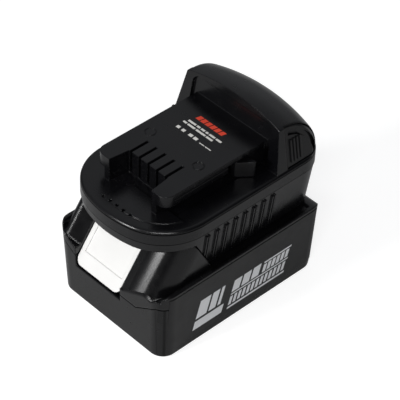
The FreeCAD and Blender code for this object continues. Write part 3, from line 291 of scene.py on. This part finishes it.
def pack_painted_shade(material):
    """Painted shade along the seam of the pack's two halves, which dips across the front, and along
    the corner's lines.
    """
    x, y, z = coordinates(material)
    dip = ranged(material, calculated(material, "ABSOLUTE", x), case_seam_low, case_seam,
                 case_seam_half_low, case_seam_half_high)
    front = calculated(material, "LESS_THAN", y, 0.0)
    drop = calculated(material, "MULTIPLY", calculated(material, "SUBTRACT", dip, case_seam), front)
    seam = shade_line_at(material, z, calculated(material, "ADD", drop, case_seam), shade_line_half)
    # Painted shade on two upright lines at the front right corner, where a side panel's edges would
    # shade
    front_shade_line = shade_line_at(material, x, corner_front_line, shade_line_half)
    drafted = calculated(material, "ADD", y, calculated(material, "MULTIPLY", z, case_draft))
    side_shade_line = shade_line_at(material, drafted, corner_side_line, corner_side_half)
    upright_shade = calculated(material, "MAXIMUM",
                          calculated(material, "MULTIPLY", front_shade_line, corner_front_shade),
                          calculated(material, "MULTIPLY", side_shade_line, corner_side_shade))
    upright_shade = calculated(material, "MULTIPLY", upright_shade,
                          calculated(material, "LESS_THAN", z, dip),
                          calculated(material, "LESS_THAN", y, corner_rear),
                          calculated(material, "GREATER_THAN", x, corner_inner))
    return calculated(material, "MAXIMUM", seam, upright_shade)


def rim_painted_shade(material):
    """Painted shade lines under the adapter's rim and round the top plate."""
    z = coordinates(material)[2]
    return calculated(material, "MAXIMUM", shade_line_at(material, z, rim_seam, shade_line_half),
                      shade_line_at(material, z, rim_top, shade_line_half))


def flank_form(material):
    """Broad crown over the right flank of the pack's front slope, as a height in metres."""
    x, y, z = coordinates(material)
    fall = ranged(material, x, 0.0, -flank_fall, flank_start, flank_end, smooth=True)
    return calculated(material, "MULTIPLY", fall,
                      calculated(material, "GREATER_THAN", y, flank_front),
                      calculated(material, "LESS_THAN", y, flank_rear),
                      calculated(material, "GREATER_THAN", z, case_seam_low))


# Materials

def moulded(name, dark, light, roughness, grain, depth, edge, specular=0.5, lines=None, form=None):
    """Moulded plastic: fine grain, slow drift of tone and gloss, softened edges, and painted shade
    lines that have no gloss.
    """
    material, shader = new_material(name)
    links = material.node_tree.links
    slow = noise(material, tone_size, detail=3.0)
    fine = noise(material, grain, detail=2.0, roughness=0.6)
    colour = mixed(material, ranged(material, slow, 0.0, 1.0), dark, light)
    # Painted shade: the lines turn the colour black and take the gloss away
    if lines:
        line = lines(material)
        colour = mixed(material, line, colour, painted_shade_colour)
        links.new(ranged(material, line, specular, 0.0, 0.0, 1.0),
                  shader.inputs["Specular IOR Level"])
    else:
        shader.inputs["Specular IOR Level"].default_value = specular
    links.new(colour, shader.inputs["Base Color"])
    gloss = noise(material, gloss_size, detail=4.0)
    links.new(ranged(material, gloss, roughness - gloss_below, roughness + gloss_above),
              shader.inputs["Roughness"])
    bumped(material, shader, fine, depth, grain_strength, edge, form)
    return material


def metal(name, bright, dull, roughness, stretch):
    """Plated or drawn metal with fine lines along one direction."""
    material, shader = new_material(name)
    links = material.node_tree.links
    drawn = noise(material, drawn_line_size, detail=3.0, roughness=0.6, stretch=stretch)
    tarnish = noise(material, tarnish_size, detail=3.0)
    links.new(mixed(material, ranged(material, tarnish, 0.0, 1.0), bright, dull),
              shader.inputs["Base Color"])
    links.new(ranged(material, drawn, roughness - drawn_gloss_below, roughness + drawn_gloss_above),
              shader.inputs["Roughness"])
    shader.inputs["Metallic"].default_value = 1.0
    bumped(material, shader, drawn, drawn_line_depth, drawn_line_strength)
    return material


# Each by the name of its material in the CAD frame
finishes = {
    "adapter_plastic": moulded(
        "adapter_plastic", (0.0018, 0.0018, 0.0024), (0.003, 0.003, 0.0036), roughness=0.24,
        grain=0.35 * MM, depth=0.02 * MM, edge=0.6 * MM, specular=0.36, lines=rim_painted_shade),
    "pack_plastic": moulded(
        "pack_plastic", (0.002, 0.002, 0.0024), (0.0032, 0.0032, 0.0036), roughness=0.24,
        grain=0.35 * MM, depth=0.02 * MM, edge=1.3 * MM, specular=0.36, lines=pack_painted_shade,
        form=flank_form),
    "latch_plastic": moulded(
        "latch_plastic", (0.0018, 0.0018, 0.0024), (0.003, 0.003, 0.0036), roughness=0.30,
        grain=0.3 * MM, depth=0.02 * MM, edge=0.3 * MM, specular=0.32),
    "button_white": moulded(
        "button_white", (0.72, 0.715, 0.70), (0.76, 0.755, 0.74), roughness=0.38,
        grain=0.5 * MM, depth=0.01 * MM, edge=0.4 * MM, specular=0.4),
    "label": moulded(
        "label_film", (0.003, 0.003, 0.0034), (0.0045, 0.0045, 0.005), roughness=0.38,
        grain=0.5 * MM, depth=0.01 * MM, edge=0.1 * MM, specular=0.36),
    "holder_plastic": moulded(
        "holder_plastic", (0.50, 0.51, 0.50), (0.58, 0.59, 0.58), roughness=0.5,
        grain=0.5 * MM, depth=0.02 * MM, edge=0.2 * MM),
    "carrier_plastic": moulded(
        "carrier_plastic", (0.02, 0.02, 0.022), (0.03, 0.03, 0.032), roughness=0.45,
        grain=0.5 * MM, depth=0.02 * MM, edge=0.2 * MM),
    "cell_can": moulded(
        "cell_sleeve", (0.02, 0.17, 0.28), (0.03, 0.21, 0.33), roughness=0.3,
        grain=1.0 * MM, depth=0.01 * MM, edge=0.2 * MM),
    "board": moulded(
        "board_green", (0.012, 0.10, 0.035), (0.02, 0.14, 0.05), roughness=0.35,
        grain=0.8 * MM, depth=0.02 * MM, edge=0.1 * MM),
    "board_parts": moulded(
        "board_parts", (0.02, 0.02, 0.022), (0.035, 0.035, 0.038), roughness=0.5,
        grain=0.4 * MM, depth=0.02 * MM, edge=0.2 * MM),
    "nickel": metal(
        "nickel", (0.66, 0.64, 0.60), (0.54, 0.52, 0.48), roughness=0.3, stretch=(1.0, 6.0, 1.0)),
    "contact_metal": metal(
        "contact_metal", (0.80, 0.66, 0.40), (0.66, 0.52, 0.30), roughness=0.3,
        stretch=(1.0, 1.0, 8.0)),
    "spring_steel": metal(
        "spring_steel", (0.60, 0.60, 0.61), (0.45, 0.45, 0.46), roughness=0.32,
        stretch=(1.0, 1.0, 8.0)),
    "screw_steel": metal(
        "screw_steel", (0.30, 0.30, 0.31), (0.20, 0.20, 0.21), roughness=0.4,
        stretch=(4.0, 1.0, 1.0)),
}

print_silver = moulded(
    "print_silver", (0.76, 0.77, 0.79), (0.84, 0.85, 0.87), roughness=0.45,
    grain=0.4 * MM, depth=0.01 * MM, edge=0.0)
print_red = moulded(
    "print_red", (0.62, 0.045, 0.02), (0.70, 0.06, 0.025), roughness=0.5,
    grain=0.4 * MM, depth=0.01 * MM, edge=0.0)
print_white = moulded(
    "print_white", (0.62, 0.61, 0.58), (0.72, 0.71, 0.68), roughness=0.5,
    grain=0.4 * MM, depth=0.01 * MM, edge=0.0)

for node in frame["nodes"].values():
    for slot in node.material_slots:
        name = slot.material.name.split(".")[0]
        slot.material = finishes[name]


# Prints: outlines in millimetres, thin enough to read as ink

def finish_piece(bm, name, body, material):
    """A mesh becomes a named piece that rides on its body."""
    mesh = bpy.data.meshes.new(name)
    bmesh.ops.recalc_face_normals(bm, faces=bm.faces)
    bm.to_mesh(mesh)
    bm.free()
    piece = bpy.data.objects.new(name, mesh)
    bpy.context.scene.collection.objects.link(piece)
    mesh.materials.append(material)
    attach(piece, body)
    return piece


def side_point(y, z, lift):
    """Point over the right sticker's face, from millimetres along the pack and up."""
    z = z * MM
    x = case_half_width - (case_top - z) * case_draft + sticker_thickness + lift
    return Vector((x, y * MM, z))


def top_point(x, y, lift):
    """Point over the platform, from millimetres across and along it."""
    return Vector((x * MM, y * MM, platform_top + lift))


def printed(name, outlines, point, body, material):
    """Thin printed shapes, each an outline that a function puts on a face of the part."""
    bm = bmesh.new()
    for outline in outlines:
        low = [bm.verts.new(point(*spot, -print_half)) for spot in outline]
        high = [bm.verts.new(point(*spot, print_half)) for spot in outline]
        bm.faces.new(low[::-1])
        bm.faces.new(high)
        for i in range(len(outline)):
            j = (i + 1) % len(outline)
            bm.faces.new((low[i], low[j], high[j], high[i]))
    return finish_piece(bm, name, body, material)


def side_print(name, outlines):
    """Silver print on the right sticker, in outlines of (y, z) points."""
    return printed(name, outlines, side_point, "pack", print_silver)


def top_print(name, outlines, material):
    """Print on the platform, in outlines of (x, y) points."""
    return printed(name, outlines, top_point, "adapter", material)


def slanted(start, end, low, high, lean=print_lean):
    """Bar from start to end and from low to high that leans as it rises."""
    shift = (high - low) * lean
    return [(start, low), (end, low), (end + shift, high), (start + shift, high)]


def hatch(start, end, low, high, count, fill=0.62):
    """Row of slanted bars along a band, each filling a share of its step."""
    step = (end - start) / count
    return [slanted(start + i * step, start + (i + fill) * step, low, high) for i in range(count)]


def dashes(start, low, high, lengths, gap=0.7):
    """Row of upright bars with given lengths and a gap between them."""
    bars = []
    for length in lengths:
        bars.append(slanted(start, start + length, low, high, lean=0.0))
        start += length + gap
    return bars


side_print("side_bars", [
    slanted(-32, -25, 16, 27),
    slanted(-23.6, -19, 16, 27),
    slanted(-17.6, -15.6, 16, 27),
    slanted(-33.7, -14.4, 9, 14.4),
])
side_print("side_band", [
    slanted(-10.6, 29, 8.6, 9.8),
    *hatch(-10, 29.5, 11, 16.2, count=13),
    slanted(-8.6, 31, 17.2, 18),
])
side_print("side_blocks", [
    *hatch(-8.2, 11.4, 19, 26, count=3, fill=0.8),
    *hatch(12.6, 31.4, 19, 23.8, count=6, fill=0.7),
    slanted(13.8, 32.6, 24.6, 25.6),
])
top_print("top_bar_red", [
    slanted(red_start + red_step * i, red_start + red_step * i + red_width, 10.6, 13.6)
    for i in range(red_count)
], print_red)
top_print("top_rules", [
    *dashes(-11.2, 6.5, 7.7, (5.2, 2.2, 2.6, 1.6, 4.0, 3.6)),
    *dashes(-12.4, 4.2, 5.4, (2.4, 5.0, 6.4, 4.2)),
    *dashes(4.6, -1.0, -0.5, (3.4, 4.0), gap=0.4),
    *dashes(-11.8, -0.9, 0.9, (2.0, 2.0), gap=1.6),
    *dashes(-3.4, -0.9, 0.9, (2.4, 2.4), gap=1.0),
], print_white)


# Springs

def helix(bm, start, along, length, radius):
    """Wound wire along one direction, closed at both ends."""
    side = along.orthogonal().normalized()
    other = along.cross(side)
    count = coil_turns * coil_steps
    section = [2 * math.pi * k / coil_sides for k in range(coil_sides)]
    rings = []
    for i in range(count + 1):
        angle = 2 * math.pi * i / coil_steps
        out = side * math.cos(angle) + other * math.sin(angle)
        rise = coil_wire + (length - 2 * coil_wire) * i / count
        centre = start + along * rise + out * (radius - coil_wire)
        ring = []
        for t in section:
            spot = centre + out * (coil_wire * math.cos(t)) + along * (coil_wire * math.sin(t))
            ring.append(bm.verts.new(spot))
        rings.append(ring)
    for ring, following in zip(rings, rings[1:]):
        for k in range(coil_sides):
            j = (k + 1) % coil_sides
            bm.faces.new((ring[k], ring[j], following[j], following[k]))
    bm.faces.new(rings[0][::-1])
    bm.faces.new(rings[-1])


def spring(name, node, body, starts, along, length, radius):
    """Wound springs in the place of their plain tubes."""
    bm = bmesh.new()
    for start in starts:
        helix(bm, start, along, length, radius)
    piece = finish_piece(bm, name, body, finishes["spring_steel"])
    for polygon in piece.data.polygons:
        polygon.use_smooth = True
    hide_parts(node)
    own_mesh(piece)


def latch_spring(side, along):
    """Spring between the housing and one squeeze latch; the coil starts at the housing's end."""
    low, high = (Vector(corner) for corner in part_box(side + "_latch_spring"))
    middle = (low + high) / 2
    start = Vector((low.x if along > 0 else high.x, middle.y, middle.z))
    spring(side + "_latch_coil", side + "_latch_spring", "adapter",
           [start], Vector((along, 0.0, 0.0)), high.x - low.x, (high.z - low.z) / 2)


def button_springs():
    """Pair of springs under the release button; the coils start at the shelf's end."""
    low, high = (Vector(corner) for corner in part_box("pack_button_springs"))
    radius = (high.y - low.y) / 2
    starts = [Vector((x, low.y + radius, low.z)) for x in (low.x + radius, high.x - radius)]
    spring("button_coils", "pack_button_springs", "pack",
           starts, Vector((0.0, 0.0, 1.0)), high.z - low.z, radius)


latch_spring("right", 1.0)
latch_spring("left", -1.0)
button_springs()


# Floor, light and camera

def floor():
    """Large pale floor that glows to the camera's rays and keeps a soft shadow."""
    bm = bmesh.new()
    bmesh.ops.create_grid(bm, x_segments=floor_cells, y_segments=floor_cells, size=floor_reach)
    mesh = bpy.data.meshes.new("floor")
    bm.to_mesh(mesh)
    bm.free()
    piece = bpy.data.objects.new("floor", mesh)
    bpy.context.scene.collection.objects.link(piece)
    piece.location.z = -floor_drop
    material, shader = new_material("floor_paper")
    nodes, links = material.node_tree.nodes, material.node_tree.links
    tone = noise(material, floor_tone_size, detail=4.0)
    links.new(mixed(material, tone, floor_dark, floor_light), shader.inputs["Base Color"])
    shader.inputs["Roughness"].default_value = floor_roughness
    shader.inputs["Specular IOR Level"].default_value = floor_specular
    rays = nodes.new("ShaderNodeLightPath").outputs
    glossy = calculated(material, "MULTIPLY", rays["Is Glossy Ray"], floor_glossy_share)
    seen = calculated(material, "MAXIMUM", rays["Is Camera Ray"], rays["Is Transmission Ray"],
                      glossy)
    glow = calculated(material, "MULTIPLY", seen, floor_glow)
    shader.inputs["Emission Color"].default_value = (1.0, 1.0, 1.0, 1.0)
    links.new(glow, shader.inputs["Emission Strength"])
    mesh.materials.append(material)


def soft_light(name, position, size, power):
    """Area light aimed at the object."""
    data = bpy.data.lights.new(name, "AREA")
    data.shape = "RECTANGLE"
    data.size, data.size_y = size
    data.energy = power
    light = bpy.data.objects.new(name, data)
    bpy.context.scene.collection.objects.link(light)
    light.location = position
    aim = Vector(lamp_target) - Vector(position)
    light.rotation_euler = aim.to_track_quat("-Z", "Y").to_euler()


def towards(scene_world, direction):
    """How far a view of the surroundings points along one direction."""
    nodes, links = scene_world.node_tree.nodes, scene_world.node_tree.links
    dot = nodes.new("ShaderNodeVectorMath")
    dot.operation = "DOT_PRODUCT"
    dot.inputs[1].default_value = direction
    links.new(nodes.new("ShaderNodeTexCoord").outputs["Generated"], dot.inputs[0])
    return dot.outputs["Value"]


def world():
    """Dim surroundings with soft bright areas."""
    scene_world = bpy.data.worlds.new("surroundings")
    scene_world.use_nodes = True
    background = scene_world.node_tree.nodes["Background"]
    background.inputs["Color"].default_value = surroundings_colour
    strength = surroundings_base
    for direction, bright in surroundings:
        area = ranged(scene_world, towards(scene_world, direction), 0.0, bright,
                      bright_start, bright_full, smooth=True)
        strength = calculated(scene_world, "ADD", area, strength)
    scene_world.node_tree.links.new(strength, background.inputs["Strength"])
    bpy.context.scene.world = scene_world


def camera():
    """Camera at the photograph's place."""
    azimuth, elevation = math.radians(camera_azimuth), math.radians(camera_elevation)
    back = Vector((math.sin(azimuth) * math.cos(elevation),
                   -math.cos(azimuth) * math.cos(elevation),
                   math.sin(elevation)))
    level = Vector((math.cos(azimuth), math.sin(azimuth), 0.0))
    rise = back.cross(level)
    roll = math.radians(camera_roll)
    right = level * math.cos(roll) + rise * math.sin(roll)
    up = rise * math.cos(roll) - level * math.sin(roll)
    target = Vector((0.0, 0.0, camera_height)) + right * camera_shift_right + up * camera_shift_up
    data = bpy.data.cameras.new("camera")
    data.sensor_width = camera_sensor
    data.lens = camera_lens
    data.clip_start = camera_near
    data.clip_end = camera_far
    item = bpy.data.objects.new("camera", data)
    bpy.context.scene.collection.objects.link(item)
    axes = Matrix((right, up, back)).transposed().to_4x4()
    item.matrix_world = Matrix.Translation(target + back * camera_distance) @ axes
    bpy.context.scene.camera = item


floor()
world()
for name, (position, size, power) in lamps.items():
    soft_light(name, position, size, power)
camera()
bpy.context.scene.view_settings.view_transform = "Standard"
